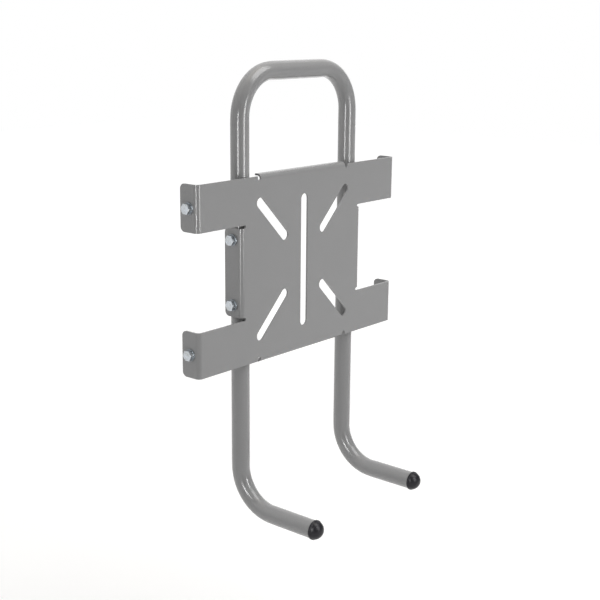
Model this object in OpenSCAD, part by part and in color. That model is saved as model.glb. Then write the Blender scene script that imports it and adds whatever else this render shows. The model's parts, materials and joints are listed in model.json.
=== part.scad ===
// Bike rack frame that bolts over a vehicle's spare wheel: one bent tube, a folded steel
// plate with stud slots, and the bolts that hold the two together.
// Millimetres. The origin is where the wheel's axis meets the plate's front face.
// X runs to the right, Y runs back towards the wheel, Z runs up.

/* [Tube frame] */
// Outside diameter of the bent tube
tube_d = 25; // [20:0.5:30]
// Wall thickness of the tube
tube_wall = 2; // [1.2:0.1:3]
// Distance between the axes of the two uprights
upright_pitch = 225; // [200:1:260]
// Height of the top bar's axis above the wheel's axis
top_bar_z = 260; // [225:0.5:320]
// Depth of the bottom arms' axes below the wheel's axis
arm_drop = 331.5; // [240:0.5:400]
// Distance from an upright's axis to the open end of its bottom arm
arm_reach = 132; // [100:0.5:200]
// Centre-line radius of the two top bends
top_bend_r = 60; // [40:1:80]
// Centre-line radius of the two bottom bends
arm_bend_r = 58; // [40:1:80]
// Gap between the plate's back and the front of the uprights
upright_gap = 1.5; // [0.5:0.1:4]

/* [Plate] */
// Thickness of the sheet
sheet_t = 2.5; // [1.5:0.1:3.5]
// Inside radius of every fold
fold_r = 4; // [1:0.1:4.5]
// Width over the end flanges of the four plate arms
plate_span = 416; // [360:1:460]
// Height of each plate arm
plate_arm_h = 61.5; // [50:0.5:80]
// Height of the space between an upper and a lower plate arm
arm_space = 129; // [124:1:150]
// How far the end and side flanges reach past the backs of the uprights
flange_past_tube = 1; // [0:0.5:6]
// Radius of the free corners of the flanges
flange_corner_r = 7; // [2:0.5:10]
// Height of the reliefs above and below the two side flanges
relief_h = 4.5; // [3:0.1:6]
// How far the reliefs above and below a side flange reach past its fold
relief_past_fold = 2; // [0.5:0.5:6]
// Width of the centre section between its top notches
centre_w = 179; // [168:1:184]
// Depth of the centre section's short top and bottom flanges
lip_depth = 11; // [8:0.5:14]
// Width of the notches beside the short flanges
notch_w = 6; // [3:0.5:8]
// How far those notches reach past the folds of the short flanges
notch_past_fold = 1.8; // [1:0.1:6]

/* [Stud slots] */
// Width of every slot
slot_w = 14; // [10:0.5:16]
// Length of the upright slot, end to end
upright_slot_l = 187; // [100:1:200]
// Distance from the wheel's axis to the inner end centre of a slanted slot
slanted_slot_in = 58; // [45:0.5:70]
// Distance from the wheel's axis to the outer end centre of a slanted slot
slanted_slot_out = 128; // [90:0.5:130]

/* [Fasteners] */
// Thread diameter of the bolts
bolt_d = 8; // [6:0.5:9]
// Width across the flats of bolt heads and nuts
hex_af = 13; // [12:0.5:14.5]
// Height of a bolt head
head_h = 5.3; // [4:0.1:7]
// Height of a self-locking nut, with its collar
nut_h = 8; // [6:0.1:10]
// Outside diameter of a washer
washer_d = 16; // [15:0.5:18]
// Thickness of a washer
washer_t = 1.6; // [1:0.1:2.5]
// How far a bolt stands out of its nut
bolt_out = 6.3; // [1:0.1:9]
// Play of a bolt in its hole, on the diameter
hole_play = 1; // [0.4:0.1:2]
// Height of the upright bolts above and below the wheel's axis
frame_bolt_z = 44; // [30:0.5:45]
// Distance from the plate's front face to the bolts in the end flanges
end_bolt_y = 15.5; // [15:0.5:16.5]

/* [End plugs] */
// Diameter of a plug's rim
rim_d = 27; // [26:0.5:34]
// Thickness of a plug's rim
rim_t = 3.4; // [2:0.1:4]
// Radius of the rim's outer edge
rim_edge_r = 1.2; // [0.4:0.1:1.8]
// Diameter of a plug's dome at its foot
dome_d = 25.5; // [18:0.5:25.5]
// Height of the dome over the rim
dome_h = 9.8; // [4:0.1:10]
// Length of the ribbed stem inside the tube
stem_l = 16; // [12:0.5:24]
// Clearance of the stem's ribs in the tube
rib_clearance = 0.1; // [0.05:0.05:0.4]

/* [Hidden] */
$fn = 96;

// Name, side along X and side along Z of each corner, and how far its hexagons are turned
CORNERS = [["upper_left", -1, 1, 27], ["upper_right", 1, 1, 40],
           ["lower_left", -1, -1, 35], ["lower_right", 1, -1, 5]];
SIDES = [["left", -1], ["right", 1]];
PLACES = ["arm", "frame"];
PIECES = ["bolt", "washer", "inner_washer", "nut"];

STEEL_COAT = [0.56, 0.56, 0.55];
ZINC = [0.76, 0.79, 0.82];
NUT_COLLAR = [0.70, 0.73, 0.77];
BLACK_PLASTIC = [0.13, 0.13, 0.14];

// A cut runs this far past the face that it opens
over = 1;

tube_r = tube_d / 2;
bore_r = tube_r - tube_wall;
upright_x = upright_pitch / 2;
upright_y = sheet_t + upright_gap + tube_r;
flange_depth = upright_y + tube_r + flange_past_tube;

fold_out_r = fold_r + sheet_t;
side_face_x = upright_x + tube_r + sheet_t;
end_face_x = plate_span / 2;
arm_low_z = arm_space / 2;
arm_high_z = arm_low_z + plate_arm_h;
// The short flanges are folded just past the edges of the plate arms
centre_high_z = arm_high_z + sheet_t;
side_flange_h = arm_space - 2 * relief_h;
fold_z = centre_high_z - fold_out_r;
// Height of the centres of the notches' round ends
notch_z = fold_z - notch_past_fold + notch_w / 2;

bolt_r = bolt_d / 2;
hole_r = (bolt_d + hole_play) / 2;
washer_hole_r = bolt_r + 0.2;
nut_hole_r = bolt_r + 0.05;
bolt_tip = 1;
bolt_tip_r = bolt_r - 0.7;
// Share of a nut's height that is hexagonal, and the collar's radius
nut_hex_h = 0.72 * nut_h;
collar_r = 0.93 * hex_af / 2;
// Radius of the flat circle on top of a hexagon, and the fall of the cone around it
hex_face_r = 0.95 * hex_af / 2;
hex_corner_r = hex_af / 2 / cos(30);
hex_drop = 0.55 * (hex_corner_r - hex_face_r);

// The stem is a tube with ribs that grip the bore
rib_r = bore_r - rib_clearance;
rib_depth = 1.8;
rib_t = 1.4;
rib_count = 3;
stem_wall = 2;
stem_r = rib_r - rib_depth;
stem_hollow_r = stem_r - stem_wall;

// A rod of radius r along the whole bent tube, longer by extra at its two ends
module tube_run(r, extra = 0) {
    top_z = top_bar_z - top_bend_r;
    foot_z = -arm_drop + arm_bend_r;
    foot_y = upright_y - arm_bend_r;
    bar_x = upright_x - top_bend_r;
    translate([-bar_x, upright_y, top_bar_z]) rotate([0, 90, 0]) cylinder(r = r, h = 2 * bar_x);
    for (side = [-1, 1]) {
        translate([side * upright_x, upright_y, foot_z]) cylinder(r = r, h = top_z - foot_z);
        translate([side * bar_x, upright_y, top_z]) mirror([side < 0 ? 1 : 0, 0, 0])
            rotate([90, 0, 0]) rotate_extrude(angle = 90) translate([top_bend_r, 0]) circle(r);
        translate([side * upright_x, foot_y, foot_z]) rotate([0, 90, 0])
            rotate_extrude(angle = 90) translate([arm_bend_r, 0]) circle(r);
        translate([side * upright_x, foot_y, -arm_drop]) rotate([90, 0, 0])
            cylinder(r = r, h = foot_y - (upright_y - arm_reach) + extra);
    }
}

module tube_frame() {
    color(STEEL_COAT) difference() {
        tube_run(tube_r);
        tube_run(bore_r, over);
        for (side = [-1, 1], level = [-1, 1])
            translate([side * upright_x, upright_y, level * frame_bolt_z]) rotate([0, 90, 0])
                cylinder(r = hole_r, h = tube_d + 2 * over, center = true);
    }
}

// A rectangle of half width half_w from y = 0 to y = depth, its two corners at y = 0 rounded
module front_rounded(half_w, depth, r) {
    translate([-half_w, r]) square([2 * half_w, depth - r]);
    translate([r - half_w, 0]) square([2 * (half_w - r), depth]);
    for (side = [-1, 1]) translate([side * (half_w - r), r]) circle(r);
}

// Section of sheet folded back at both ends
module folded_section(half_w, depth) {
    difference() {
        front_rounded(half_w, depth, fold_out_r);
        translate([0, sheet_t]) front_rounded(half_w - sheet_t, depth, fold_r);
    }
}

// Block from the front face to the flanges' free edges, with the two back corners rounded
module rounded_block(width, height) {
    r = flange_corner_r;
    rotate([90, 0, 90]) linear_extrude(width, center = true) {
        translate([0, -height / 2]) square([flange_depth - r, height]);
        translate([0, r - height / 2]) square([flange_depth, height - 2 * r]);
        for (level = [-1, 1]) translate([flange_depth - r, level * (height / 2 - r)]) circle(r);
    }
}

// A strip of the plate of the given height, with a flange of that height at each end
module flanged_strip(half_w, height) {
    intersection() {
        linear_extrude(height, center = true) folded_section(half_w, flange_depth);
        rounded_block(2 * half_w + 2 * over, height);
    }
}

module plate_arms() {
    difference() {
        for (level = [-1, 1])
            translate([0, 0, level * (arm_low_z + plate_arm_h / 2)])
                flanged_strip(end_face_x, plate_arm_h);
        // The centre section's folds take the place of the arms' edges here
        for (level = [-1, 1])
            translate([0, 0, level * (fold_z + plate_arm_h / 2)])
                cube([centre_w, 2 * flange_depth, plate_arm_h], center = true);
    }
}

module side_flanges() {
    relief_x = side_face_x - fold_out_r - relief_past_fold + relief_h / 2;
    flanged_strip(side_face_x, side_flange_h);
    difference() {
        translate([-relief_x, 0, -arm_low_z]) cube([2 * relief_x, sheet_t, arm_space]);
        for (side = [-1, 1], level = [-1, 1])
            translate([side * relief_x, -over, level * (side_flange_h + relief_h) / 2])
                rotate([-90, 0, 0]) cylinder(r = relief_h / 2, h = sheet_t + 2 * over);
    }
}

module centre_section() {
    rotate([0, -90, 0]) linear_extrude(centre_w, center = true)
        folded_section(centre_high_z, lip_depth);
}

module notch_cuts() {
    rise = centre_high_z + over - notch_z;
    for (side = [-1, 1], level = [-1, 1])
        translate([side * (centre_w + notch_w) / 2, -over, level * notch_z]) {
            rotate([-90, 0, 0]) cylinder(r = notch_w / 2, h = sheet_t + 2 * over);
            translate([-notch_w / 2, 0, level > 0 ? 0 : -rise])
                cube([notch_w, sheet_t + 2 * over, rise]);
        }
}

// A round-ended slot through the plate, at an angle from X towards Z
module slot_cut(x, z, length, angle) {
    straight = length - slot_w;
    translate([x, -over, z]) rotate([-90, 0, 0])
        linear_extrude(sheet_t + 2 * over) rotate(-angle) {
            square([straight, slot_w], center = true);
            for (end = [-1, 1]) translate([end * straight / 2, 0]) circle(slot_w / 2);
        }
}

module stud_slots() {
    middle = (slanted_slot_in + slanted_slot_out) / 2 * cos(45);
    slot_cut(0, 0, upright_slot_l, 90);
    for (side = [-1, 1], level = [-1, 1])
        slot_cut(side * middle, level * middle, slanted_slot_out - slanted_slot_in + slot_w,
                 side * level * 45);
}

module flange_holes() {
    end_z = arm_low_z + plate_arm_h / 2;
    for (side = [-1, 1], level = [-1, 1]) {
        translate([side * end_face_x, end_bolt_y, level * end_z]) rotate([0, 90, 0])
            cylinder(r = hole_r, h = 2 * sheet_t + 2 * over, center = true);
        translate([side * side_face_x, upright_y, level * frame_bolt_z]) rotate([0, 90, 0])
            cylinder(r = hole_r, h = 2 * sheet_t + 2 * over, center = true);
    }
}

module mounting_plate() {
    color(STEEL_COAT) difference() {
        union() {
            plate_arms();
            side_flanges();
            centre_section();
        }
        notch_cuts();
        stud_slots();
        flange_holes();
    }
}

// Moves a fastener piece to a flange: z = 0 is the flange's outer face and z points outwards
module at_flange(place, corner) {
    is_arm = place == "arm";
    x = is_arm ? end_face_x : side_face_x;
    y = is_arm ? end_bolt_y : upright_y;
    z = is_arm ? arm_low_z + plate_arm_h / 2 : frame_bolt_z;
    translate([corner[1] * x, y, corner[2] * z]) rotate([0, corner[1] * 90, 0]) children();
}

// Thickness of what a bolt holds between its two washers
function grip(place) = place == "arm" ? sheet_t : sheet_t + tube_d;

// A hexagonal prism from z = 0 to z = h, its upper corners turned down to a cone
module chamfered_hex(h) {
    wide_r = hex_corner_r + over;
    intersection() {
        cylinder(r = hex_corner_r, h = h, $fn = 6);
        rotate_extrude() polygon([[0, 0], [wide_r, 0], [wide_r, h - hex_drop],
                                  [hex_corner_r, h - hex_drop], [hex_face_r, h], [0, h]]);
    }
}

// Hexagon bolt through a flange, with its head on the outside
module hex_bolt(place, corner) {
    shank = 2 * washer_t + grip(place) + nut_h + bolt_out;
    color(ZINC) at_flange(place, corner) {
        translate([0, 0, washer_t]) rotate(corner[3]) chamfered_hex(head_h);
        translate([0, 0, washer_t - shank + bolt_tip])
            cylinder(r = bolt_r, h = shank - bolt_tip + over);
        translate([0, 0, washer_t - shank]) cylinder(r1 = bolt_tip_r, r2 = bolt_r, h = bolt_tip);
    }
}

// Washer whose face nearer the wheel's axis is at z = foot_z
module washer(place, corner, foot_z = 0) {
    color(ZINC) at_flange(place, corner) translate([0, 0, foot_z]) difference() {
        cylinder(r = washer_d / 2, h = washer_t);
        translate([0, 0, -over]) cylinder(r = washer_hole_r, h = washer_t + 2 * over);
    }
}

module inner_washer(place, corner) {
    washer(place, corner, -grip(place) - washer_t);
}

// Self-locking nut: a hexagon and a round collar that holds the locking ring
module lock_nut(place, corner) {
    color(NUT_COLLAR) at_flange(place, corner)
        translate([0, 0, -grip(place) - washer_t]) rotate([180, 0, 2 * corner[3]]) difference() {
            union() {
                chamfered_hex(nut_hex_h);
                cylinder(r = collar_r, h = nut_h);
            }
            translate([0, 0, -over]) cylinder(r = nut_hole_r, h = nut_h + 2 * over);
        }
}

// Plug in the open end of a bottom arm: rim and dome outside, a ribbed stem inside
module end_plug(side) {
    rim_r = rim_d / 2;
    dome_r = dome_d / 2;
    sphere_r = (dome_r * dome_r + dome_h * dome_h) / (2 * dome_h);
    rib_step = (stem_l - rib_t) / rib_count;
    color(BLACK_PLASTIC)
        translate([side * upright_x, upright_y - arm_reach, -arm_drop]) rotate([90, 0, 0]) {
            rotate_extrude() {
                square([rim_r, rim_t - rim_edge_r]);
                square([rim_r - rim_edge_r, rim_t]);
                translate([rim_r - rim_edge_r, rim_t - rim_edge_r]) circle(rim_edge_r);
            }
            translate([0, 0, rim_t]) intersection() {
                translate([0, 0, dome_h - sphere_r]) sphere(sphere_r);
                translate([0, 0, -rim_t / 2]) cylinder(r = dome_r, h = dome_h + rim_t);
            }
            translate([0, 0, -stem_l]) difference() {
                union() {
                    cylinder(r = stem_r, h = stem_l);
                    for (i = [0:rib_count - 1])
                        translate([0, 0, i * rib_step]) cylinder(r = rib_r, h = rib_t);
                }
                translate([0, 0, -over]) cylinder(r = stem_hollow_r, h = stem_l + over);
            }
        }
}

tube_frame();
mounting_plate();
for (side = SIDES)
    end_plug(side[1]);
for (place = PLACES, corner = CORNERS) {
    hex_bolt(place, corner);
    washer(place, corner);
    inner_washer(place, corner);
    lock_nut(place, corner);
}
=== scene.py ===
"""Looks of a bike rack frame that bolts over a vehicle's spare wheel.

Metres throughout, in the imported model's frame: X runs to the right, Y back towards the wheel,
Z up, and the origin is where the wheel's axis meets the plate's front face.
"""

import json
import logging
import math
from dataclasses import dataclass, field
from enum import Enum
from typing import Any, Callable, Sequence

import bmesh
import bpy
from mathutils import Euler, Matrix, Vector

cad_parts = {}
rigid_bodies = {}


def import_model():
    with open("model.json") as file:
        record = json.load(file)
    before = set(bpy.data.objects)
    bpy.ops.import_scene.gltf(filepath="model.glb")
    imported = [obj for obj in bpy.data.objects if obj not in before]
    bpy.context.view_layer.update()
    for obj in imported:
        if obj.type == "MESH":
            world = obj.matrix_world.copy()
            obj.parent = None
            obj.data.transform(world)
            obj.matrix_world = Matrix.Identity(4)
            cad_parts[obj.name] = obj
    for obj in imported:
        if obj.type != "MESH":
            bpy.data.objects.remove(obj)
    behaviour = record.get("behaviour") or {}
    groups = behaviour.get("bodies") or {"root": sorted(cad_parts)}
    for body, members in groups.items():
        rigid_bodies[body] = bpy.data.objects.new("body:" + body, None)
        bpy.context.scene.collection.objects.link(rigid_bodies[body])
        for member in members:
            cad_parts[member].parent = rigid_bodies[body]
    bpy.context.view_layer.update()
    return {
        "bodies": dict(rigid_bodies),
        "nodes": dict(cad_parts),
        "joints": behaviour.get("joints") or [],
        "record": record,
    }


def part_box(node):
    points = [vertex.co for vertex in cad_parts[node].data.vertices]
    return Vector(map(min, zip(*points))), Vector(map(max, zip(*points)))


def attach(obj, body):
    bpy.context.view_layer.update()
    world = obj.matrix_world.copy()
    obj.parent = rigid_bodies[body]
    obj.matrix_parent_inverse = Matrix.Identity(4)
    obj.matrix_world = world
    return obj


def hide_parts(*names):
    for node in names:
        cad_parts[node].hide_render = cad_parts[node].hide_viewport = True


MM = 0.001
BODY = "root"
LOG = logging.getLogger("rack")
# Sizes that several pieces share
TUBE_RADIUS = 12.5 * MM
SHEET = 2.5 * MM

Point = tuple[float, float, float]


class Slot(Enum):
    """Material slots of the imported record."""

    COATED_STEEL = "coated_steel"
    ZINC_PLATE = "zinc_plate"
    NUT_ZINC = "nut_zinc"
    PLUG_PLASTIC = "plug_plastic"


class Flange(Enum):
    """The two kinds of flange that a bolt goes through, by the first word of its nodes' names."""

    END = "arm"
    SIDE = "frame"


def linear(hex_colour: str) -> tuple[float, float, float, float]:
    """Turns an sRGB hex colour into linear values.

    Args:
        hex_colour: Six hex digits after a hash sign.

    Returns:
        Linear red, green and blue, and an alpha of 1.
    """
    channels = [int(hex_colour[i : i + 2], 16) / 255 for i in (1, 3, 5)]
    curve = [c / 12.92 if c <= 0.04045 else ((c + 0.055) / 1.055) ** 2.4 for c in channels]
    return curve[0], curve[1], curve[2], 1.0


def add_node(
    tree: bpy.types.NodeTree, kind: str, links: dict[Any, Any] | None = None, **settings: Any
) -> bpy.types.Node:
    """Adds one node, sets its properties, and fills or links its inputs.

    Args:
        tree: Shader or geometry tree that gets the node.
        kind: Blender's identifier of the node.
        links: Input name or number to a value, or to the output socket that feeds it. A node
            stands for its own first output.
        **settings: Properties of the node itself, such as an operation.

    Returns:
        The new node.
    """
    made = tree.nodes.new(kind)
    for name, value in settings.items():
        setattr(made, name, value)
    for name, value in (links or {}).items():
        if isinstance(value, bpy.types.Node):
            value = value.outputs[0]
        if isinstance(value, bpy.types.NodeSocket):
            tree.links.new(value, made.inputs[name])
        else:
            made.inputs[name].default_value = value
    return made


# Finishes


@dataclass(frozen=True)
class Finish:
    """A surface finish: two near colours in soft patches, uneven gloss and a fine relief."""

    name: str
    slot: Slot
    colour: str
    # Second colour, and the width of its patches
    patch_colour: str
    patch: float
    # Least and greatest roughness, and the width of the areas that differ in it
    smooth: float
    rough: float
    cloud: float
    # Width and height of the finest relief
    grain: float
    grain_height: float
    metallic: float = 0.0
    ior: float = 1.5

    def material(self) -> bpy.types.Material:
        """Makes the finish's material, or returns it if it is made already.

        Returns:
            The material, named for the finish.
        """
        found = bpy.data.materials.get(self.name)
        if found:
            return found
        made = bpy.data.materials.new(self.name)
        made.use_nodes = True
        tree = made.node_tree
        tree.nodes.clear()
        place = add_node(tree, "ShaderNodeTexCoord").outputs["Object"]
        patches, clouds, relief = (
            add_node(tree, "ShaderNodeTexNoise", {"Vector": place, "Scale": 1 / size})
            for size in (self.patch, self.cloud, self.grain)
        )
        # Noise keeps near its middle, so its middle two fifths are spread over the full range
        middle = {"From Min": 0.3, "From Max": 0.7}
        share = add_node(tree, "ShaderNodeMapRange", {"Value": patches, **middle})
        colours = {0: share, 6: linear(self.colour), 7: linear(self.patch_colour)}
        colour = add_node(tree, "ShaderNodeMix", colours, data_type="RGBA").outputs[2]
        ends = {"To Min": self.smooth, "To Max": self.rough}
        gloss = add_node(tree, "ShaderNodeMapRange", {"Value": clouds, **middle, **ends})
        bump = add_node(tree, "ShaderNodeBump", {"Height": relief, "Distance": self.grain_height})
        links = {"Base Color": colour, "Roughness": gloss, "Normal": bump}
        links["Metallic"] = self.metallic
        if self.metallic == 0.0:
            links["IOR"] = self.ior
        shader = add_node(tree, "ShaderNodeBsdfPrincipled", links)
        add_node(tree, "ShaderNodeOutputMaterial", {"Surface": shader})
        return made


# Polyester powder coat, sprayed on the steel and baked. It gives the eye an even mid grey with a
# satin gloss: lamps show as soft narrow streaks on the tube and the folds, barely wavy from the
# orange peel, whose bumps are 2 to 3 mm wide. The aluminium flakes in the powder are 0.03 mm wide,
# too fine to show, so they are drawn 0.9 mm wide, as the faint grain they add up to.
GREY_POWDER_COAT = Finish(
    name="grey_powder_coat",
    slot=Slot.COATED_STEEL,
    colour="#8F8F8F",
    patch_colour="#959596",
    patch=0.9 * MM,
    smooth=0.17,
    rough=0.23,
    cloud=45 * MM,
    grain=2.4 * MM,
    grain_height=0.003 * MM,
)

# Steel with bright zinc plate and a clear blue chromate. It gives the eye a bluish silver that
# mirrors the room, blurred, with faint stains a few millimetres wide. The plating's crystals are
# 0.01 mm wide, too fine to show, so their matt grain is drawn 0.5 mm wide.
BRIGHT_ZINC = Finish(
    name="bright_zinc_plate",
    slot=Slot.ZINC_PLATE,
    colour="#C6CCD3",
    patch_colour="#B4B7B8",
    patch=5 * MM,
    smooth=0.20,
    rough=0.32,
    cloud=5 * MM,
    grain=0.5 * MM,
    grain_height=0.006 * MM,
    metallic=1.0,
)

# Washers are stamped from rolled strip and plated dull, without a brightener, which makes them
# rougher than the heads, with a soft sheen.
# Their colour is also darkened to a middle grey, darker than the heads, as painted shade: the
# head's shadow over the washer and the dim room that it mirrors.
DULL_ZINC_PAINTED_SHADE = Finish(
    name="dull_zinc_plate",
    slot=Slot.ZINC_PLATE,
    colour="#92979C",
    patch_colour="#84898D",
    patch=5 * MM,
    smooth=0.34,
    rough=0.44,
    cloud=5 * MM,
    grain=0.5 * MM,
    grain_height=0.006 * MM,
    metallic=1.0,
)

# The nuts' zinc is tumbled with other nuts in a barrel, which leaves it duller and darker.
NUT_ZINC = Finish(
    name="barrel_zinc_plate",
    slot=Slot.NUT_ZINC,
    colour="#BBC2CA",
    patch_colour="#A9ADB0",
    patch=5 * MM,
    smooth=0.26,
    rough=0.38,
    cloud=5 * MM,
    grain=0.5 * MM,
    grain_height=0.006 * MM,
    metallic=1.0,
)

# Low-density polyethylene, injection moulded in a spark-eroded mould. It gives the eye a deep
# black with a broad waxy highlight. The mould's grain is 0.05 mm wide, too fine to show, so it is
# drawn 0.6 mm wide. The grain also scatters some of the gloss, so the index is set below the
# plastic's own 1.51.
BLACK_POLYETHYLENE = Finish(
    name="black_moulded_polyethylene",
    slot=Slot.PLUG_PLASTIC,
    colour="#16151B",
    patch_colour="#1F1E26",
    patch=6 * MM,
    smooth=0.34,
    rough=0.42,
    cloud=6 * MM,
    grain=0.6 * MM,
    grain_height=0.01 * MM,
    ior=1.38,
)

# Nylon of a nut's locking ring, turned by the thread. It gives the eye a dull, creamy white.
WHITE_NYLON = Finish(
    name="white_nylon",
    slot=Slot.NUT_ZINC,
    colour="#D9D6CB",
    patch_colour="#C9C5B8",
    patch=2 * MM,
    smooth=0.42,
    rough=0.50,
    cloud=2 * MM,
    grain=0.6 * MM,
    grain_height=0.01 * MM,
)


# Meshes


def add_object(name: str, data: Any) -> bpy.types.Object:
    """Puts a mesh, a lamp or a camera into the scene as an object at the origin.

    Args:
        name: Name of the object.
        data: Its mesh, lamp or camera.

    Returns:
        The new object.
    """
    made = bpy.data.objects.new(name, data)
    bpy.context.scene.collection.objects.link(made)
    return made


def bake_modifiers(made: bpy.types.Object) -> None:
    """Turns an object's modifiers into its plain mesh and removes them.

    Args:
        made: The object, with its modifiers.
    """
    evaluated = made.evaluated_get(bpy.context.evaluated_depsgraph_get())
    mesh = bpy.data.meshes.new_from_object(evaluated)
    made.modifiers.clear()
    made.data = mesh
    mesh.name = made.name


def smooth_below(mesh: bpy.types.Mesh, angle: float) -> None:
    """Shades a mesh smooth, but for the edges that turn by more than an angle.

    Args:
        mesh: The mesh to shade.
        angle: The least turn that stays sharp, in radians.
    """
    mesh.shade_smooth()
    mesh.set_sharp_from_angle(angle=angle)


def show_piece(made: bpy.types.Object, finish: Finish, nodes: Sequence[str]) -> None:
    """Dresses a finished piece and ties it to the CAD nodes that it stands for.

    Args:
        made: The piece, with its final mesh.
        finish: Its surface finish.
        nodes: CAD nodes that it replaces, if any.
    """
    if not made.data.materials:
        made.data.materials.append(finish.material())
    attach(made, BODY)
    if nodes:
        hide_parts(*nodes)
    LOG.info("%s: %d faces, for %s", made.name, len(made.data.polygons), list(nodes))


# A ring of a turned piece: its radius and height, either plain or as a function of the angle
Level = tuple[float, float]
Ring = Level | Callable[[float], Level]
# Points of a turned piece that are nearer than this are one
TURNED_WELD = 0.0001 * MM


def rounded_edge(radius: float, top: float, edge: float, steps: int) -> list[Level]:
    """Lists the quarter round between a turned piece's side and its top.

    Args:
        radius: Radius of the side.
        top: Height of the top.
        edge: Radius of the round.
        steps: Faces along the round.

    Returns:
        Radius and height of each ring, from the side to the top.
    """
    turns = [math.pi / 2 * step / steps for step in range(steps + 1)]
    return [
        (radius - edge * (1 - math.cos(turn)), top - edge * (1 - math.sin(turn)))
        for turn in turns
    ]


def closed_mesh(name: str, shape: bmesh.types.BMesh, weld: float) -> bpy.types.Mesh:
    """Turns a shape into a mesh with no doubles and no holes, and with its faces outwards.

    Args:
        name: Name of the mesh.
        shape: The shape, which is used up.
        weld: Points nearer than this are one.

    Returns:
        The mesh.
    """
    bmesh.ops.remove_doubles(shape, verts=shape.verts, dist=weld)
    bmesh.ops.holes_fill(shape, edges=[edge for edge in shape.edges if edge.is_boundary])
    bmesh.ops.recalc_face_normals(shape, faces=shape.faces)
    mesh = bpy.data.meshes.new(name)
    shape.to_mesh(mesh)
    shape.free()
    return mesh


def turned_mesh(
    name: str, rings: Sequence[Ring], columns: int, bored: bool = False
) -> bpy.types.Mesh:
    """Builds a closed solid round the Z axis from rings of points.

    Args:
        name: Name of the mesh.
        rings: The rings, in order along the section's outline.
        columns: Points in each ring.
        bored: Whether the last ring joins the first. Otherwise both of them get an end face.

    Returns:
        The mesh, with its faces pointing outwards.
    """
    shape = bmesh.new()
    rows = []
    for ring in rings:
        row = []
        for i in range(columns):
            angle = math.tau * i / columns
            radius, height = ring(angle) if callable(ring) else ring
            place = (radius * math.cos(angle), radius * math.sin(angle), height)
            row.append(shape.verts.new(place))
        rows.append(row)
    following = rows[1:] + rows[:1] if bored else rows[1:]
    for low, high in zip(rows, following):
        for i in range(columns):
            j = (i + 1) % columns
            shape.faces.new((low[i], low[j], high[j], high[i]))
    if not bored:
        shape.faces.new(list(reversed(rows[0])))
        shape.faces.new(rows[-1])
    return closed_mesh(name, shape, TURNED_WELD)


# Geometry Nodes


class GeometryTree:
    """A Geometry Nodes tree with named inputs, run on one object and turned into its mesh."""

    SOCKETS = {
        float: "NodeSocketFloat",
        int: "NodeSocketInt",
        bpy.types.Material: "NodeSocketMaterial",
        bpy.types.Object: "NodeSocketObject",
    }

    def __init__(self, name: str, **values: Any) -> None:
        """Starts a tree with its inputs.

        Args:
            name: Name of the tree.
            **values: Each named input, and what it is set to when the tree runs.
        """
        self.tree = bpy.data.node_groups.new(name, "GeometryNodeTree")
        self.values = values
        sides = self.tree.interface
        sides.new_socket("Geometry", in_out="INPUT", socket_type="NodeSocketGeometry")
        sides.new_socket("Geometry", in_out="OUTPUT", socket_type="NodeSocketGeometry")
        for title, value in values.items():
            sides.new_socket(title, in_out="INPUT", socket_type=self.SOCKETS[type(value)])
        self.inputs = add_node(self.tree, "NodeGroupInput").outputs

    def finish(self, geometry: bpy.types.Node) -> None:
        """Ends the tree with real meshes and their material.

        Args:
            geometry: Node that gives the finished shape.
        """
        real = add_node(self.tree, "GeometryNodeRealizeInstances", {0: geometry})
        links = {0: real, "Material": self.inputs["material"]}
        dressed = add_node(self.tree, "GeometryNodeSetMaterial", links)
        add_node(self.tree, "NodeGroupOutput", {0: dressed})

    def run(self, made: bpy.types.Object) -> None:
        """Runs the tree on an object and keeps the result as its plain mesh.

        Args:
            made: Object whose mesh is the tree's input.
        """
        modifier = made.modifiers.new(self.tree.name, "NODES")
        modifier.node_group = self.tree
        for item in self.tree.interface.items_tree:
            if item.in_out == "INPUT" and item.name in self.values:
                modifier[item.identifier] = self.values[item.name]
        bake_modifiers(made)


# Bent tube


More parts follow.
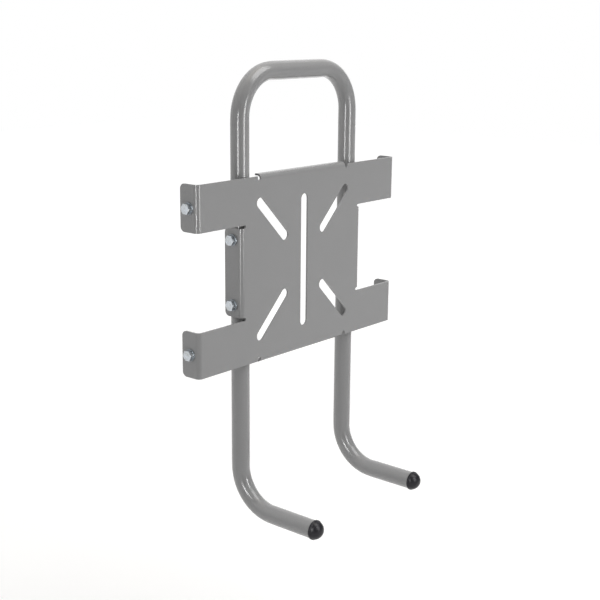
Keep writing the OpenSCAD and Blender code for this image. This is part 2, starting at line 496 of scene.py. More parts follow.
@dataclass
class BentTube:
    """The one steel tube, bent four times, that makes top bar, uprights and bottom arms."""

    node: str = "tube_frame"
    radius: float = TUBE_RADIUS
    wall: float = 2 * MM
    top_bend: float = 60 * MM
    arm_bend: float = 58 * MM
    bend_steps: int = 48
    ring_step: float = 4 * MM
    sides: int = 80
    # Share of the radius by which a bend flattens the tube
    flattening: float = 0.03
    sharp_angle: float = math.radians(40)
    finish: Finish = GREY_POWDER_COAT

    def line(self) -> bpy.types.Mesh:
        """Builds the tube's axis, with sharp corners where the bends will be.

        Returns:
            A mesh of six points in a row, from the left end to the right end, each with the
            radius of its bend as an attribute.
        """
        low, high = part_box(self.node)
        x, y = high.x - self.radius, high.y - self.radius
        foot, top = low.z + self.radius, high.z - self.radius
        left = [
            ((-x, low.y, foot), 0.0),
            ((-x, y, foot), self.arm_bend),
            ((-x, y, top), self.top_bend),
        ]
        corners = left + [((-px, py, pz), bend) for (px, py, pz), bend in reversed(left)]
        mesh = bpy.data.meshes.new("tube_line")
        steps = [(i, i + 1) for i in range(len(corners) - 1)]
        mesh.from_pydata([place for place, _ in corners], steps, [])
        stored = mesh.attributes.new("bend", "FLOAT", "POINT")
        for item, (_, bend) in zip(stored.data, corners):
            item.value = bend
        return mesh

    def tree(self) -> GeometryTree:
        """Builds the tree that rounds the corners and sweeps the tube along the line.

        Returns:
            The tree, whose input is the line of corners.
        """
        made = GeometryTree(
            "bent_tube",
            radius=self.radius,
            bend_steps=self.bend_steps,
            ring_step=self.ring_step,
            sides=self.sides,
            flattening=self.flattening,
            material=self.finish.material(),
        )
        tree, inputs = made.tree, made.inputs
        bend = add_node(tree, "GeometryNodeInputNamedAttribute", {"Name": "bend"})
        line = add_node(tree, "GeometryNodeMeshToCurve", {0: inputs["Geometry"]})
        links = {"Curve": line, "Count": inputs["bend_steps"], "Radius": bend}
        rounded = add_node(tree, "GeometryNodeFilletCurve", links, mode="POLY")
        links = {"Curve": rounded, "Length": inputs["ring_step"]}
        even = add_node(tree, "GeometryNodeResampleCurve", links, mode="LENGTH")
        kept = self.keep_turns(made, even, bend)
        links = {"Resolution": inputs["sides"], "Radius": inputs["radius"]}
        profile = add_node(tree, "GeometryNodeCurvePrimitiveCircle", links, mode="RADIUS")
        swept = add_node(tree, "GeometryNodeCurveToMesh", {0: kept, 1: profile})
        push = self.flattened(made, kept)
        drawn = add_node(tree, "GeometryNodeSetPosition", {0: swept, "Offset": push})
        made.finish(add_node(tree, "GeometryNodeSetShadeSmooth", {0: drawn}))
        return made

    @staticmethod
    def keep_turns(
        made: GeometryTree, line: bpy.types.Node, bend: bpy.types.Node
    ) -> bpy.types.Node:
        """Keeps how the line turns at each of its points, for the section that is swept there.

        Args:
            made: The tube's tree.
            line: Node that gives the line, with evenly spaced points.
            bend: Node that gives the radius of the bend at a point.

        Returns:
            The line's node. Its further outputs are the direction towards the inside of the
            bend, how much of a full bend's turn there is at the point, and the point's place.
        """
        tree = made.tree
        index = add_node(tree, "GeometryNodeInputIndex")
        tangent = add_node(tree, "GeometryNodeInputTangent")
        tangents = []
        for step in (1.0, -1.0):
            near = add_node(tree, "ShaderNodeMath", {0: index, 1: step}, operation="ADD")
            links = {"Index": near, "Value": tangent}
            kind = "GeometryNodeFieldAtIndex"
            tangents.append(add_node(tree, kind, links, data_type="FLOAT_VECTOR"))
        links = {0: tangents[0], 1: tangents[1]}
        turn = add_node(tree, "ShaderNodeVectorMath", links, operation="SUBTRACT")
        inwards = add_node(tree, "ShaderNodeVectorMath", {0: turn}, operation="NORMALIZE")
        angle = add_node(tree, "ShaderNodeVectorMath", {0: turn}, operation="LENGTH")
        links = {0: angle.outputs["Value"], 1: bend}
        arc = add_node(tree, "ShaderNodeMath", links, operation="MULTIPLY")
        # The two tangents are two steps apart
        links = {0: made.inputs["ring_step"], 1: 2.0}
        span = add_node(tree, "ShaderNodeMath", links, operation="MULTIPLY")
        links = {0: arc, 1: span}
        share = add_node(tree, "ShaderNodeMath", links, operation="DIVIDE", use_clamp=True)
        kept = add_node(tree, "GeometryNodeCaptureAttribute", {0: line})
        for title, kind, value in (
            ("inwards", "VECTOR", inwards),
            ("share", "FLOAT", share),
            ("centre", "VECTOR", add_node(tree, "GeometryNodeInputPosition")),
        ):
            kept.capture_items.new(kind, title)
            tree.links.new(value.outputs[0], kept.inputs[title])
        return kept

    @staticmethod
    def flattened(made: GeometryTree, kept: bpy.types.Node) -> bpy.types.Node:
        """Adds the push that squeezes the section in a bend, in the plane of the bend.

        Args:
            made: The tube's tree.
            kept: The line's node, with what is kept at each of its points.

        Returns:
            The node that gives the push at a point of the tube's surface.
        """
        tree = made.tree
        links = {0: add_node(tree, "GeometryNodeInputPosition"), 1: kept.outputs["centre"]}
        arm = add_node(tree, "ShaderNodeVectorMath", links, operation="SUBTRACT")
        links = {0: arm, 1: kept.outputs["inwards"]}
        reach = add_node(tree, "ShaderNodeVectorMath", links, operation="DOT_PRODUCT")
        links = {0: reach.outputs["Value"], 1: kept.outputs["share"]}
        bent = add_node(tree, "ShaderNodeMath", links, operation="MULTIPLY")
        links = {0: bent, 1: made.inputs["flattening"]}
        squeeze = add_node(tree, "ShaderNodeMath", links, operation="MULTIPLY")
        links = {0: kept.outputs["inwards"], "Scale": squeeze}
        pull = add_node(tree, "ShaderNodeVectorMath", links, operation="SCALE")
        links = {0: (0.0, 0.0, 0.0), 1: pull}
        return add_node(tree, "ShaderNodeVectorMath", links, operation="SUBTRACT")

    def build(self) -> None:
        """Makes the tube with its wall."""
        made = add_object("bent_tube", self.line())
        self.tree().run(made)
        wall = made.modifiers.new("wall", "SOLIDIFY")
        wall.thickness = self.wall
        wall.offset = -1
        bake_modifiers(made)
        smooth_below(made.data, self.sharp_angle)
        show_piece(made, self.finish, [self.node])


# Slotted plate


@dataclass
class SlottedPlate:
    """The folded steel sheet with five stud slots, four arms and its flanges."""

    node: str = "mounting_plate"
    # Points nearer than this are one, and faces that turn by less than this are one
    weld: float = 0.001 * MM
    flat_angle: float = math.radians(0.2)
    # The coat rounds the cut edges of the sheet
    edge_radius: float = 0.25 * MM
    edge_steps: int = 2
    sharp_angle: float = math.radians(40)
    # How strongly the large faces keep their own normals, so that flat sheet looks flat
    face_weight: int = 100
    finish: Finish = GREY_POWDER_COAT

    def build(self, frame: dict[str, Any]) -> None:
        """Makes a copy of the CAD plate with rounded cut edges.

        Args:
            frame: The loaded frame.
        """
        mesh = frame["nodes"][self.node].data.copy()
        mesh.materials.clear()
        shape = bmesh.new()
        shape.from_mesh(mesh)
        bmesh.ops.remove_doubles(shape, verts=shape.verts, dist=self.weld)
        bmesh.ops.dissolve_limit(
            shape, angle_limit=self.flat_angle, verts=shape.verts, edges=shape.edges
        )
        shape.to_mesh(mesh)
        shape.free()
        mesh.shade_smooth()
        made = add_object("slotted_plate", mesh)
        edges = made.modifiers.new("edges", "BEVEL")
        edges.width = self.edge_radius
        edges.segments = self.edge_steps
        edges.limit_method = "ANGLE"
        edges.angle_limit = self.sharp_angle
        edges.use_clamp_overlap = True
        normals = made.modifiers.new("normals", "WEIGHTED_NORMAL")
        normals.mode = "FACE_AREA"
        normals.weight = self.face_weight
        bake_modifiers(made)
        show_piece(made, self.finish, [self.node])


# Fasteners

# Points in each ring of a bolt, a washer or a nut
FASTENER_COLUMNS = 72


@dataclass(frozen=True)
class Hexagon:
    """A hexagon bar whose corners are turned off a little, and whose ends have a chamfer."""

    across_flats: float = 13 * MM
    corner_share: float = 0.985
    # Radius of the flat circle on an end as a share of the flats', and the chamfer's slope
    face_share: float = 0.92
    slope: float = 0.5

    @property
    def flat(self) -> float:
        """Distance from the axis to a flat."""
        return self.across_flats / 2

    @property
    def corner(self) -> float:
        """Distance from the axis to a turned corner."""
        return self.flat / math.cos(math.pi / 6) * self.corner_share

    @property
    def face(self) -> float:
        """Radius of the flat circle on an end."""
        return self.flat * self.face_share

    def radius(self, angle: float) -> float:
        """Returns the distance from the axis to the surface at an angle."""
        from_flat = (angle % (math.pi / 3)) - math.pi / 6
        return min(self.flat / math.cos(from_flat), self.corner)

    def chamfered(self, height: float, slope: float) -> Ring:
        """Returns the ring where a cone round an end's flat circle cuts the hexagon.

        Args:
            height: Height of the flat circle.
            slope: Fall of the cone for each unit of radius. A negative one rises.

        Returns:
            The ring.
        """
        return lambda angle: (
            self.radius(angle),
            height - slope * (self.radius(angle) - self.face),
        )


@dataclass(frozen=True)
class Thread:
    """A coarse metric thread on the end of a bolt, with a tapered tip."""

    radius: float = 4 * MM
    pitch: float = 1.25 * MM
    depth: float = 0.77 * MM
    # Shares of half a pitch: the flat crest, and the flank down to the root
    crest: float = 0.125
    flank: float = 0.625
    rows_per_turn: int = 8
    columns: int = 36
    tip_length: float = 1 * MM
    tip_drop: float = 0.7 * MM
    # Points nearer than this are one
    weld: float = 0.001 * MM

    def depth_at(self, share: float) -> float:
        """Returns how deep the groove is at a share of the pitch from a crest."""
        from_crest = abs(((share + 0.5) % 1.0) - 0.5) * 2
        return self.depth * min(max((from_crest - self.crest) / self.flank, 0.0), 1.0)

    def mesh(self, low: float, high: float) -> bpy.types.Mesh:
        """Builds the threaded rod as rows that climb along the helix.

        Args:
            low: Height of the bolt's tip.
            high: Height where the thread ends.

        Returns:
            The rod's mesh, closed at both ends.
        """
        step = self.pitch / self.rows_per_turn
        rows = math.ceil((high - low) / step) + 2 * self.rows_per_turn
        shape = bmesh.new()
        grid = []
        for row in range(rows + 1):
            line = []
            for column in range(self.columns + 1):
                turn = column / self.columns
                height = low + (row - self.rows_per_turn) * step + turn * self.pitch
                height = min(max(height, low), high)
                radius = self.radius - self.depth_at(row / self.rows_per_turn)
                tip = self.radius - self.tip_drop * (1 - (height - low) / self.tip_length)
                radius = min(radius, tip)
                x, y = radius * math.cos(math.tau * turn), radius * math.sin(math.tau * turn)
                line.append(shape.verts.new((x, y, height)))
            grid.append(line)
        for low_line, high_line in zip(grid, grid[1:]):
            for i in range(self.columns):
                shape.faces.new((low_line[i], low_line[i + 1], high_line[i + 1], high_line[i]))
        return closed_mesh("thread", shape, self.weld)


@dataclass(frozen=True)
class HexBolt:
    """A bolt with a hexagon head, a plain shank and a threaded end."""

    hexagon: Hexagon = Hexagon()
    thread: Thread = Thread()
    head_height: float = 5.3 * MM
    # The head stands on a thin round foot, and a gentle cone leads from there to the hexagon
    foot: float = 0.3 * MM
    foot_slope: float = 0.5 / 3
    # The head's top has a shallow dish, whose edge and floor are shares of the flat circle
    dish: float = 0.25 * MM
    dish_edge: float = 0.82
    dish_floor: float = 0.74

    def mesh(self, seat: float, tip: float, thread_top: float) -> bpy.types.Mesh:
        """Builds the bolt.

        Args:
            seat: Height of the head's foot.
            tip: Height of the bolt's tip.
            thread_top: Height where the thread ends.

        Returns:
            The bolt's mesh, with its head upwards.
        """
        face, chamfered = self.hexagon.face, self.hexagon.chamfered
        top = seat + self.head_height
        rings = [
            (self.thread.radius, thread_top),
            (self.thread.radius, seat),
            (face, seat),
            (face, seat + self.foot),
            chamfered(seat + self.foot, -self.foot_slope),
            chamfered(top, self.hexagon.slope),
            (face, top),
            (face * self.dish_edge, top),
            (face * self.dish_floor, top - self.dish),
        ]
        bolt = turned_mesh("bolt", rings, FASTENER_COLUMNS)
        shape = bmesh.new()
        shape.from_mesh(bolt)
        shape.from_mesh(self.thread.mesh(tip, thread_top))
        shape.to_mesh(bolt)
        shape.free()
        return bolt


@dataclass(frozen=True)
class StampedWasher:
    """A washer stamped from strip, which leaves its upper edges drawn."""

    radius: float = 8 * MM
    bore: float = 4.2 * MM
    thickness: float = 1.6 * MM
    # Width of a drawn edge, and how far its middle lies in from both faces, as a share of that
    draw: float = 0.15 * MM
    draw_middle: float = 0.3
    # Width of the lower edges, where the burr has come off in the plating drum
    deburred: float = 0.1 * MM

    def mesh(self) -> bpy.types.Mesh:
        """Builds the washer.

        Returns:
            The washer's mesh, from height 0, with its drawn face upwards.
        """
        bore, rim, top = self.bore, self.radius, self.thickness
        draw, middle, deburred = self.draw, self.draw * self.draw_middle, self.deburred
        rings = [
            (bore, deburred),
            (bore, top - draw),
            (bore + middle, top - middle),
            (bore + draw, top),
            (rim - draw, top),
            (rim - middle, top - middle),
            (rim, top - draw),
            (rim, deburred),
            (rim - deburred, 0.0),
            (bore + deburred, 0.0),
        ]
        return turned_mesh("washer", rings, FASTENER_COLUMNS, bored=True)


@dataclass(frozen=True)
class LockNut:
    """A self-locking nut: a chamfered hexagon, and a collar rolled over a nylon ring."""

    hexagon: Hexagon = Hexagon()
    thread: Thread = Thread()
    height: float = 8 * MM
    hexagon_height: float = 5.76 * MM
    bore_gap: float = 0.05 * MM
    # Height of the chamfered mouth of the bore
    mouth: float = 0.5 * MM
    collar_radius: float = 6.05 * MM
    collar_foot: float = 0.1 * MM
    # Radius of the collar's rolled lip, the faces along it, and how far its end is drawn in
    roll: float = 0.9 * MM
    roll_steps: int = 3
    roll_end: float = 0.2 * MM
    # The nylon ring clears the thread, and is smaller than the collar, by these radii
    ring_gap: float = 0.02 * MM
    ring_inset: float = 1.2 * MM
    # Its crown lies under the collar's top, and falls by this much to its edges
    ring_drop: float = 0.25 * MM
    ring_crown: float = 0.3 * MM
    ring_thickness: float = 1.2 * MM

    def mesh(self) -> bpy.types.Mesh:
        """Builds the nut.

        Returns:
            The nut's mesh, from height 0, with its collar upwards.
        """
        face, chamfered, slope = self.hexagon.face, self.hexagon.chamfered, self.hexagon.slope
        bore, collar = self.thread.radius + self.bore_gap, self.collar_radius
        rings = [
            (bore, self.mouth),
            (bore + self.mouth, 0.0),
            (face, 0.0),
            chamfered(0.0, -slope),
            chamfered(self.hexagon_height, slope),
            (face, self.hexagon_height),
            (collar, self.hexagon_height + self.collar_foot),
            *rounded_edge(collar, self.height, self.roll, self.roll_steps),
            (collar - self.roll - self.roll_end, self.height - self.mouth),
            (bore, self.height - self.roll),
        ]
        return turned_mesh("nut", rings, FASTENER_COLUMNS, bored=True)

    def ring_mesh(self) -> bpy.types.Mesh:
        """Builds the nylon ring that shows inside the collar.

        Returns:
            The ring's mesh, with its crown upwards.
        """
        inner, outer = self.thread.radius + self.ring_gap, self.collar_radius - self.ring_inset
        top = self.height - self.ring_drop
        edge, foot = top - self.ring_crown, top - self.ring_thickness
        middle = (inner + outer) / 2
        rings = [(inner, foot), (inner, edge), (middle, top), (outer, edge), (outer, foot)]
        return turned_mesh("nut_ring", rings, FASTENER_COLUMNS, bored=True)


@dataclass
class FastenerSet:
    """Four bolts through one kind of flange, each with two washers and a self-locking nut.

    Heights run outwards from the flange's outer face.
    """

    flange: Flange
    # Thickness of what a bolt holds between its two washers
    grip: float
    # How far each bolt's hexagon is turned from a corner at the top, in degrees
    turns: dict[str, float] = field(
        default_factory=lambda: {
            "upper_left": 27.0,
            "upper_right": 40.0,
            "lower_left": 35.0,
            "lower_right": 5.0,
        }
    )
    bolt: HexBolt = HexBolt()
    washer: StampedWasher = StampedWasher()
    nut: LockNut = LockNut()
    # How far a bolt's tip stands out of its nut
    bolt_out: float = 6.3 * MM
    sharp_angle: float = math.radians(28)

    def nodes(self, piece: str) -> list[str]:
        """Returns the four CAD nodes of one kind of piece."""
        return [f"{self.flange.value}_{piece}_{corner}" for corner in self.turns]

    def places(self, flipped: bool) -> bpy.types.Mesh:
        """Makes one point at each bolt, on the flange's outer face, with its rotation.

        Args:
            flipped: Whether the piece faces inwards, as a nut does.

        Returns:
            A mesh of four points with a rotation attribute.
        """
        points, rotations = [], []
        for node, turn in zip(self.nodes("washer"), self.turns.values()):
            low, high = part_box(node)
            side = math.copysign(1, low.x)
            face = min(abs(low.x), abs(high.x)) * side
            points.append((face, (low.y + high.y) / 2, (low.z + high.z) / 2))
            # As in the solids, a nut is turned twice as far as its bolt
            spin = Matrix.Rotation(math.radians(2 * turn if flipped else turn), 3, "Z")
            if flipped:
                spin = spin @ Matrix.Rotation(math.pi, 3, "X")
            outwards = Matrix.Rotation(side * math.pi / 2, 3, "Y")
            rotations.append((outwards @ spin).to_euler())
        mesh = bpy.data.meshes.new("bolt_places")
        mesh.from_pydata(points, [], [])
        stored = mesh.attributes.new("rotation", "FLOAT_VECTOR", "POINT")
        for item, rotation in zip(stored.data, rotations):
            item.vector = rotation
        return mesh

    def tree(self, prototype: bpy.types.Object, shift: float, finish: Finish) -> GeometryTree:
        """Builds the tree that puts one prototype at each bolt.

        Args:
            prototype: The piece, with its axis along Z.
            shift: How far it moves outwards along the bolt's axis.
            finish: Its finish.

        Returns:
            The tree, whose input is the four places.
        """
        made = GeometryTree(
            f"{self.flange.value}_{prototype.name}_set",
            piece=prototype,
            shift=shift,
            material=finish.material(),
        )
        tree, inputs = made.tree, made.inputs
        shape = add_node(tree, "GeometryNodeObjectInfo", {"Object": inputs["piece"]})
        links = {"Name": "rotation"}
        stored = add_node(
            tree, "GeometryNodeInputNamedAttribute", links, data_type="FLOAT_VECTOR"
        )
        rotation = add_node(tree, "FunctionNodeEulerToRotation", {0: stored})
        # A piece's own Z axis points outwards from its flange, or inwards if it is flipped
        place = add_node(tree, "GeometryNodeInputPosition")
        side = add_node(tree, "ShaderNodeVectorMath", {0: place}, operation="SIGN")
        links = {0: side, 1: (1.0, 0.0, 0.0)}
        outwards = add_node(tree, "ShaderNodeVectorMath", links, operation="MULTIPLY")
        links = {0: outwards, "Scale": inputs["shift"]}
        offset = add_node(tree, "ShaderNodeVectorMath", links, operation="SCALE")
        links = {0: inputs["Geometry"], "Offset": offset}
        moved = add_node(tree, "GeometryNodeSetPosition", links)
        links = {"Points": moved, "Instance": shape.outputs["Geometry"], "Rotation": rotation}
        made.finish(add_node(tree, "GeometryNodeInstanceOnPoints", links))
        return made

    def put(
        self,
        piece: str,
        mesh: bpy.types.Mesh,
        shift: float,
        finish: Finish,
        flipped: bool = False,
        replaced: bool = True,
    ) -> None:
        """Makes the set's four copies of one piece.

        Args:
            piece: The piece's name in the CAD nodes' names.
            mesh: Its mesh, with its axis along Z.
            shift: How far it moves outwards from the flange's outer face.
            finish: Its finish.
            flipped: Whether it faces inwards.
            replaced: Whether the copies stand for the CAD nodes of that name.
        """
        smooth_below(mesh, self.sharp_angle)
        prototype = add_object(piece, mesh)
        made = add_object(f"{self.flange.value}_{piece}s", self.places(flipped))
        self.tree(prototype, shift, finish).run(made)
        bpy.data.objects.remove(prototype)
        show_piece(made, finish, self.nodes(piece) if replaced else [])

    def build(self) -> None:
        """Makes all the pieces of the set."""
        seat, inner_face = self.washer.thickness, -self.grip
        nut_seat = inner_face - self.washer.thickness
        tip = nut_seat - self.nut.height - self.bolt_out
        self.put("bolt", self.bolt.mesh(seat, tip, nut_seat), 0.0, BRIGHT_ZINC)
        # Both washers get the zinc whose colour is darkened as painted shade
        self.put("washer", self.washer.mesh(), 0.0, DULL_ZINC_PAINTED_SHADE)
        self.put("inner_washer", self.washer.mesh(), inner_face, DULL_ZINC_PAINTED_SHADE, flipped=True)
        self.put("nut", self.nut.mesh(), nut_seat, NUT_ZINC, flipped=True)
        ring = self.nut.ring_mesh()
        self.put("nut_ring", ring, nut_seat, WHITE_NYLON, flipped=True, replaced=False)


# End plugs


@dataclass
class EndPlug:
    """Domed plastic plug in the open end of a bottom arm."""

    side: str
    rim_radius: float = 13.5 * MM
    rim_thickness: float = 3.4 * MM
    rim_edge: float = 1.2 * MM
    rim_steps: int = 6
    # Radius of the small round at the rim's foot
    rim_foot: float = 0.3 * MM
    dome_radius: float = 12.75 * MM
    dome_height: float = 9.8 * MM
    dome_steps: int = 16
    stem_length: float = 16 * MM
    stem_radius: float = 8.6 * MM
    stem_bore: float = 6.6 * MM
    # Depth of the stem's floor, and the radius of the disc at its middle as a share of the bore
    stem_floor: float = 0.8 * MM
    floor_disc: float = 0.3
    ribs: int = 3
    rib_radius: float = 10.4 * MM
    rib_thickness: float = 1.4 * MM
    # How much a rib is smaller at its inner and at its outer edge, and how far each of its
    # faces leans, so that no two rings share a height
    rib_edges: tuple[float, float] = (0.3 * MM, 0.1 * MM)
    rib_lean: float = 0.01 * MM
    columns: int = 96
    sharp_angle: float = math.radians(40)
    finish: Finish = BLACK_POLYETHYLENE

    def rings(self) -> list[Level]:
        """Lists the rings from the hollow stem's floor, round the ribs, to the dome's top.

        Returns:
            Radius and height of each ring. Height 0 is the rim's foot.
        """
        length = self.stem_length
        found = [
            (self.stem_bore * self.floor_disc, -self.stem_floor),
            (self.stem_bore, -self.stem_floor),
            (self.stem_bore, -length),
            (self.stem_radius, -length),
        ]
        pitch = (length - self.rib_thickness) / self.ribs
        inner_edge, outer_edge = self.rib_edges
        for i in range(self.ribs):
            low = -length + i * pitch
            high = low + self.rib_thickness
            found += [
                (self.stem_radius, low + self.rib_lean),
                (self.rib_radius - inner_edge, low + 2 * self.rib_lean),
                (self.rib_radius, (low + high) / 2),
                (self.rib_radius - outer_edge, high - self.rib_lean),
                (self.stem_radius, high),
            ]
        found += [
            (self.stem_radius, 0.0),
            (self.rim_radius - self.rim_foot, 0.0),
            (self.rim_radius, self.rim_foot),
        ]
        found += rounded_edge(self.rim_radius, self.rim_thickness, self.rim_edge, self.rim_steps)
        # The dome is the cap of a sphere of this radius
        sphere = (self.dome_radius**2 + self.dome_height**2) / (2 * self.dome_height)
        widest = math.asin(min(self.dome_radius / sphere, 1.0))
        centre = self.rim_thickness + self.dome_height - sphere
        for step in range(self.dome_steps):
            polar = widest * (1 - step / self.dome_steps)
            found.append((sphere * math.sin(polar), centre + sphere * math.cos(polar)))
        return found

    def build(self) -> None:
        """Makes the plug and puts it at the end of its arm."""
        node = f"end_plug_{self.side}"
        low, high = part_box(node)
        mesh = turned_mesh(node, self.rings(), self.columns)
        smooth_below(mesh, self.sharp_angle)
        tip = self.rim_thickness + self.dome_height
        place = Vector(((low.x + high.x) / 2, low.y + tip, (low.z + high.z) / 2))
        mesh.transform(Matrix.Translation(place) @ Matrix.Rotation(math.pi / 2, 4, "X"))
        show_piece(add_object(f"plug_{self.side}", mesh), self.finish, [node])


# Studio


@dataclass(frozen=True)
class SoftBox:
    """A rectangular area lamp that looks at a point."""

    name: str
    place: Point
    target: Point
    width: float
    height: float
    power: float
    colour: str = "#FFFFFF"
    # A strip only streaks what is glossy, and lights nothing
    streaks_only: bool = False

    def build(self) -> None:
        """Makes the lamp."""
        data = bpy.data.lights.new(self.name, "AREA")
        data.shape = "RECTANGLE"
        data.size = self.width
        data.size_y = self.height
        data.energy = self.power
        data.color = linear(self.colour)[:3]
        lamp = add_object(self.name, data)
        lamp.location = self.place
        sight = Vector(self.target) - Vector(self.place)
        lamp.rotation_euler = sight.to_track_quat("-Z", "Y").to_euler()
        lamp.visible_camera = False
        lamp.visible_diffuse = not self.streaks_only


@dataclass
class Studio:
    """Camera, pale floor and soft light."""

    # Camera of the photograph, with its lens and sensor in millimetres
    camera_place: Point = (-1.23137, -1.02641, 0.33397)
    heading: float = math.radians(50.0019)
    dip: float = math.radians(13.7204)
    roll: float = math.radians(-0.5037)
    lens: float = 70.5745
    sensor: float = 36.0
    floor_height: float = -0.62
    floor_size: float = 14.0
    # Soft light of the room from the right, from behind and from above, in that order, and from
    # the left
    room_light: Point = (0.57, 0.88, 0.3)
    left_light: float = 0.29
    # The camera and gloss see the floor brighter by these amounts, near the object and far from
    # it, at these distances. That makes it white where it is fully lit, and keeps the shadow.
    floor_glow: tuple[float, float] = (0.2, 0.52)
    glow_reach: tuple[float, float] = (0.5, 3.4)
    # Gloss sees the white backdrop behind the object, and the dimmer room in front of it. The
    # backdrop's edge is soft: it fades in between these two values of a direction's Y.
    front_room: float = 0.25
    backdrop_edge: tuple[float, float] = (-0.15, 0.25)
    # Two soft boxes light the object, and the overhead one is a little warm. Two upright strips
    # streak the tubes and the folds, and a low one brightens the underside of the top bar.
    lamps: tuple[SoftBox, ...] = (
        SoftBox(
            name="overhead",
            place=(0.0, 0.0, 2.2),
            target=(0.0, 0.0, 0.0),
            width=1.4,
            height=1.4,
            power=7.2,
            colour="#FFF3E0",
        ),
        SoftBox(
            name="key",
            place=(0.465, -1.0, 1.9),
            target=(0.0, 0.0, 0.0),
            width=1.35,
            height=1.6,
            power=34.0,
        ),
        SoftBox(
            name="left_strip",
            place=(-0.9, -0.285, 0.055),
            target=(-0.11, 0.01, 0.055),
            width=0.12,
            height=0.53,
            power=4.5,
            streaks_only=True,
        ),
        SoftBox(
            name="front_strip",
            place=(-0.015, -0.843, 0.13),
            target=(0.0, 0.0, 0.13),
            width=0.2,
            height=0.51,
            power=4.5,
            streaks_only=True,
        ),
        SoftBox(
            name="low_strip",
            place=(1.15, 0.63, -0.6),
            target=(0.0, 0.015, 0.26),
            width=0.6,
            height=0.5,
            power=1.0,
            streaks_only=True,
        ),
    )

    def camera(self) -> None:
        """Makes the camera at the photograph's viewing angle."""
        data = bpy.data.cameras.new("camera")
        data.lens = self.lens
        data.sensor_width = self.sensor
        camera = add_object("camera", data)
        turn = Euler((math.pi / 2 - self.dip, 0.0, -self.heading)).to_matrix().to_4x4()
        tilt = Matrix.Rotation(-self.roll, 4, "Z")
        camera.matrix_world = Matrix.Translation(self.camera_place) @ turn @ tilt
        bpy.context.scene.camera = camera

    @staticmethod
    def ray_share(tree: bpy.types.NodeTree, *kinds: str) -> bpy.types.Node:
        """Adds a level that is 1 for rays of some kinds, and 0 for all others.

        Args:
            tree: Node tree of the world or of the floor's material.
            *kinds: Outputs of the Light Path node.

        Returns:
            The node that gives the level.
        """
        rays = add_node(tree, "ShaderNodeLightPath").outputs
        either = add_node(tree, "ShaderNodeMath", {0: rays[kinds[0]], 1: 0.0}, operation="ADD")
        for kind in kinds[1:]:
            links = {0: either, 1: rays[kind]}
            either = add_node(tree, "ShaderNodeMath", links, operation="MAXIMUM")
        return either

    def room_level(
        self, tree: bpy.types.NodeTree, direction: bpy.types.NodeSocket
    ) -> bpy.types.Node:
        """Adds the room's level: each side's light, times how far the direction points to it.

        Args:
            tree: Node tree of the world.
            direction: The direction in which a ray leaves the scene.

        Returns:
            The node that gives the level.
        """
        sides = ((1.0, self.room_light), (-1.0, (self.left_light, 0.0, 0.0)))
        halves = []
        for sign, levels in sides:
            links = {0: direction, "Scale": sign}
            turned = add_node(tree, "ShaderNodeVectorMath", links, operation="SCALE")
            links = {0: turned, 1: (0.0, 0.0, 0.0)}
            ahead = add_node(tree, "ShaderNodeVectorMath", links, operation="MAXIMUM")
            links = {0: ahead, 1: levels}
            half = add_node(tree, "ShaderNodeVectorMath", links, operation="DOT_PRODUCT")
            halves.append(half.outputs["Value"])
        links = {0: halves[0], 1: halves[1]}
        return add_node(tree, "ShaderNodeMath", links, operation="ADD")

    def backdrop_level(
        self, tree: bpy.types.NodeTree, direction: bpy.types.NodeSocket
    ) -> bpy.types.Node:
        """Adds the level that gloss sees, of the backdrop and of the room in front of it.

        Args:
            tree: Node tree of the world.
            direction: The direction in which a ray leaves the scene.

        Returns:
            The node that gives the level.
        """
        back = add_node(tree, "ShaderNodeSeparateXYZ", {0: direction}).outputs["Y"]
        links = {
            "Value": back,
            "From Min": self.backdrop_edge[0],
            "From Max": self.backdrop_edge[1],
            "To Min": self.front_room,
            "To Max": 1.0,
        }
        return add_node(tree, "ShaderNodeMapRange", links, interpolation_type="SMOOTHSTEP")

    def world(self) -> None:
        """Makes a pale room that the camera sees as white."""
        world = bpy.data.worlds.new("pale_room")
        bpy.context.scene.world = world
        world.use_nodes = True
        tree = world.node_tree
        tree.nodes.clear()
        direction = add_node(tree, "ShaderNodeTexCoord").outputs["Generated"]
        room = self.room_level(tree, direction)
        backdrop = self.backdrop_level(tree, direction)
        gloss = self.ray_share(tree, "Is Glossy Ray", "Is Transmission Ray")
        links = {0: gloss, 2: room, 3: backdrop}
        unseen = add_node(tree, "ShaderNodeMix", links)
        links = {0: self.ray_share(tree, "Is Camera Ray"), 2: unseen, 3: 1.0}
        strength = add_node(tree, "ShaderNodeMix", links)
        links = {"Color": linear("#FFFFFF"), "Strength": strength}
        light = add_node(tree, "ShaderNodeBackground", links)
        add_node(tree, "ShaderNodeOutputWorld", {"Surface": light})

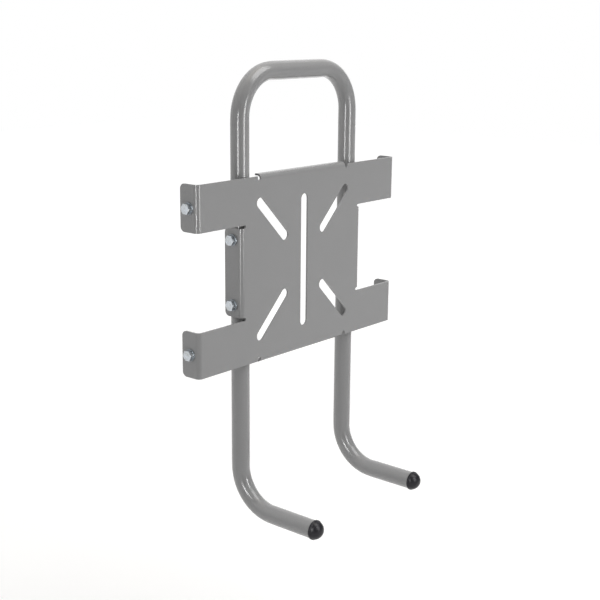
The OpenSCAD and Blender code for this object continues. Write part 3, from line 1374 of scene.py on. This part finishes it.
    def floor(self) -> None:
        """Makes the floor: pale paper that the camera sees a little brighter than it is lit."""
        half = self.floor_size / 2
        mesh = bpy.data.meshes.new("floor")
        corners = [(-half, -half), (half, -half), (half, half), (-half, half)]
        mesh.from_pydata([(x, y, self.floor_height) for x, y in corners], [], [(0, 1, 2, 3)])
        paper = bpy.data.materials.new("pale_paper")
        paper.use_nodes = True
        tree = paper.node_tree
        tree.nodes.clear()
        seen = self.ray_share(tree, "Is Camera Ray", "Is Glossy Ray", "Is Transmission Ray")
        place = add_node(tree, "ShaderNodeTexCoord").outputs["Object"]
        reach = add_node(tree, "ShaderNodeVectorMath", {0: place}, operation="LENGTH")
        links = {
            "Value": reach.outputs["Value"],
            "From Min": self.glow_reach[0],
            "From Max": self.glow_reach[1],
            "To Min": self.floor_glow[0],
            "To Max": self.floor_glow[1],
        }
        added = add_node(tree, "ShaderNodeMapRange", links, interpolation_type="SMOOTHSTEP")
        links = {0: seen, 1: added}
        level = add_node(tree, "ShaderNodeMath", links, operation="MULTIPLY")
        links = {"Color": linear("#FFFFFF"), "Strength": level}
        glow = add_node(tree, "ShaderNodeEmission", links)
        plain = add_node(tree, "ShaderNodeBsdfDiffuse", {"Color": linear("#F2F2F2")})
        both = add_node(tree, "ShaderNodeAddShader", {0: plain, 1: glow})
        add_node(tree, "ShaderNodeOutputMaterial", {"Surface": both})
        mesh.materials.append(paper)
        add_object("floor", mesh)

    def build(self) -> None:
        """Makes the whole studio."""
        bpy.context.scene.view_settings.view_transform = "Standard"
        self.camera()
        self.world()
        self.floor()
        for lamp in self.lamps:
            lamp.build()


def main() -> None:
    """Builds the object and its studio."""
    logging.basicConfig(level=logging.INFO, format="%(name)s: %(message)s")
    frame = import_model()
    Studio().build()
    BentTube().build()
    SlottedPlate().build(frame)
    FastenerSet(Flange.END, grip=SHEET).build()
    FastenerSet(Flange.SIDE, grip=SHEET + 2 * TUBE_RADIUS).build()
    for side in ("left", "right"):
        EndPlug(side).build()


if __name__ == "__main__":
    main()
